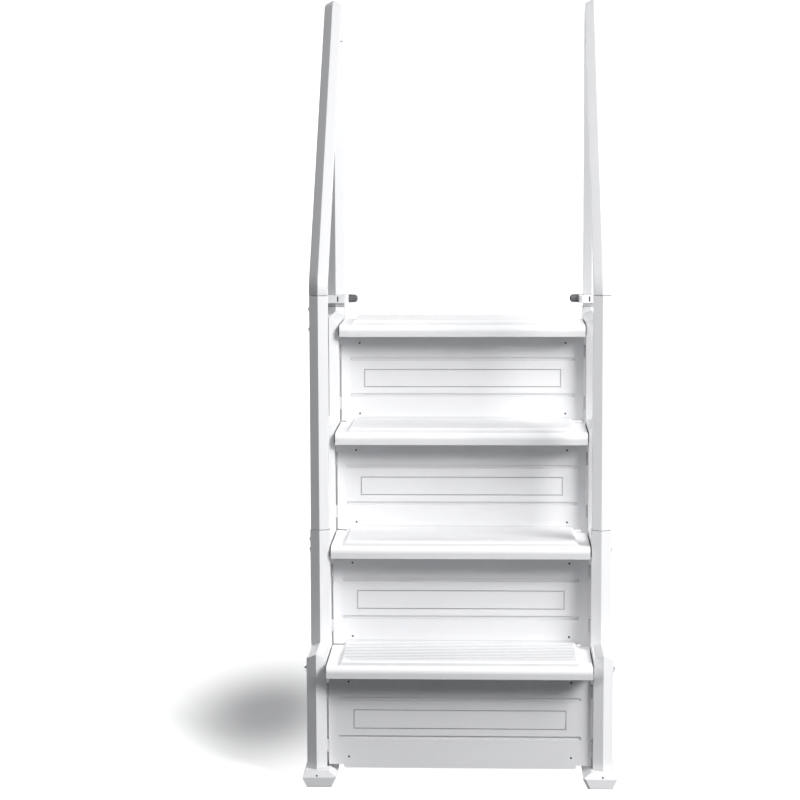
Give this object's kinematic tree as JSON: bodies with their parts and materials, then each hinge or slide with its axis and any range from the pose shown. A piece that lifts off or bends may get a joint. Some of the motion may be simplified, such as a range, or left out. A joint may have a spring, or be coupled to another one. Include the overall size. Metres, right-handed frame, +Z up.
{
  "type": "pool ladder",
  "caption": "Moulded resin in-pool ladder with deep ribbed treads, closed risers, stepped side panels, looped handrails and sliding deck clamp collars.",
  "frame": {"origin": "centre of the footprint, on the floor under the shoes", "axes": "+X to the climber's right, +Y from the lowest nose towards the deck, +Z up"},
  "size_m": [0.72, 0.854, 1.8225],
  "materials": {
    "white_resin": "bright white moulded resin, fine satin texture",
    "inner_resin": "natural resin, hidden in the joints",
    "knob_plastic": "mid grey fluted knob, satin",
    "stainless_steel": "stainless fasteners, bright turned",
    "brass_insert": "machined threaded insert"
  },
  "bodies": {
    "ladder_frame": {"left_side_panel": "white_resin", "left_front_post": "white_resin", "left_handrail_arm": "white_resin", "left_rear_tube": "white_resin", "left_foot": "white_resin", "left_post_spigot": "inner_resin", "left_rear_spigot": "inner_resin", "left_tread_bolts": "stainless_steel", "left_tread_washers": "stainless_steel", "left_tread_nuts": "stainless_steel", "left_tube_screws": "stainless_steel", "left_foot_screws": "stainless_steel", "right_side_panel": "white_resin", "right_front_post": "white_resin", "right_handrail_arm": "white_resin", "right_rear_tube": "white_resin", "right_foot": "white_resin", "right_post_spigot": "inner_resin", "right_rear_spigot": "inner_resin", "right_tread_bolts": "stainless_steel", "right_tread_washers": "stainless_steel", "right_tread_nuts": "stainless_steel", "right_tube_screws": "stainless_steel", "right_foot_screws": "stainless_steel", "tread_1": "white_resin", "tread_2": "white_resin", "tread_3": "white_resin", "tread_4": "white_resin", "riser_1": "white_resin", "riser_2": "white_resin", "riser_3": "white_resin", "riser_4": "white_resin"},
    "left_deck_collar": {"left_clamp_collar": "white_resin", "left_clamp_insert": "brass_insert"},
    "left_knob": {"left_clamp_knob": "knob_plastic", "left_knob_stud": "stainless_steel"},
    "right_deck_collar": {"right_clamp_collar": "white_resin", "right_clamp_insert": "brass_insert"},
    "right_knob": {"right_clamp_knob": "knob_plastic", "right_knob_stud": "stainless_steel"}
  },
  "joints": [
    {"name": "left_collar_slide", "type": "slide", "parent": "ladder_frame", "child": "left_deck_collar", "axis": [0, 0, 1], "range_m": [-0.008, 0.32]},
    {"name": "left_knob_turn", "type": "hinge", "parent": "left_deck_collar", "child": "left_knob", "pos_m": [-0.2846, 0.363, 1.066], "axis": [1, 0, 0], "continuous": true},
    {"name": "right_collar_slide", "type": "slide", "parent": "ladder_frame", "child": "right_deck_collar", "axis": [0, 0, 1], "range_m": [-0.008, 0.32]},
    {"name": "right_knob_turn", "type": "hinge", "parent": "right_deck_collar", "child": "right_knob", "pos_m": [0.2846, 0.363, 1.066], "axis": [1, 0, 0], "continuous": true}
  ]
}
